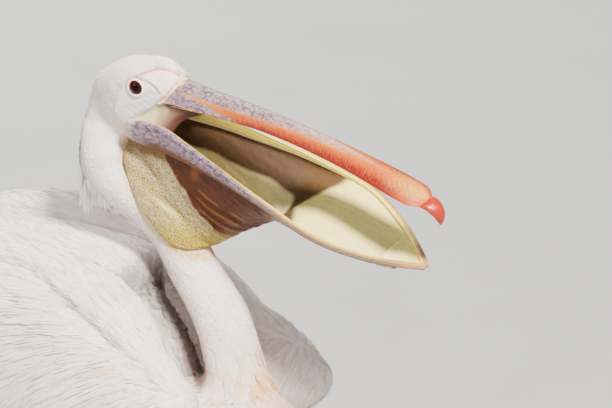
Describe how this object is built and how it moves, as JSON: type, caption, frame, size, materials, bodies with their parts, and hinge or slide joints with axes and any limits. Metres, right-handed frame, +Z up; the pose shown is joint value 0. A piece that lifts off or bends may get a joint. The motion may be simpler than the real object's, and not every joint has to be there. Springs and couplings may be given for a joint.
{
  "type": "great white pelican model",
  "caption": "Life-size still pelican resting on its belly as if afloat, wings folded, neck bent back, long bill wide open over a hanging throat pouch.",
  "frame": {"origin": "on the floor under the belly, on the bird's middle plane", "axes": "+X towards the breast and bill, +Y to the bird's left, +Z up"},
  "size_m": [1.0425, 0.346, 0.6025],
  "materials": {
    "plumage": "short soft white feathers with a pink and peach tint",
    "flight_feathers": "smooth blackish flight feathers with a slight silvery bloom",
    "upper_bill": "smooth satin horn, lavender-grey and mottled with orange-red edges",
    "nail": "glossy red-orange horn",
    "lower_bill": "satin horn, mottled lavender-grey with a yellow edge",
    "pouch": "thin, wrinkled, cream-yellow bare skin",
    "face_skin": "smooth pinkish-white bare skin",
    "eye": "wet gloss, dark red-brown iris",
    "leg_skin": "scaly pinkish-orange skin"
  },
  "bodies": {
    "root": {"head": "plumage", "neck_upper": "plumage", "neck_middle": "plumage", "neck_lower": "plumage", "breast": "plumage", "trunk": "plumage", "wing_left": "plumage", "wing_right": "plumage", "thigh_left": "plumage", "thigh_right": "plumage", "tail": "plumage", "crest": "plumage", "flight_feathers_left": "flight_feathers", "flight_feathers_right": "flight_feathers", "upper_bill": "upper_bill", "bill_nail": "nail", "lower_bill_tip": "lower_bill", "jaw_left": "lower_bill", "jaw_right": "lower_bill", "pouch": "pouch", "eye_left": "eye", "eye_right": "eye", "shank_left": "leg_skin", "shank_right": "leg_skin", "foot_left": "leg_skin", "foot_right": "leg_skin"}
  },
  "joints": []
}
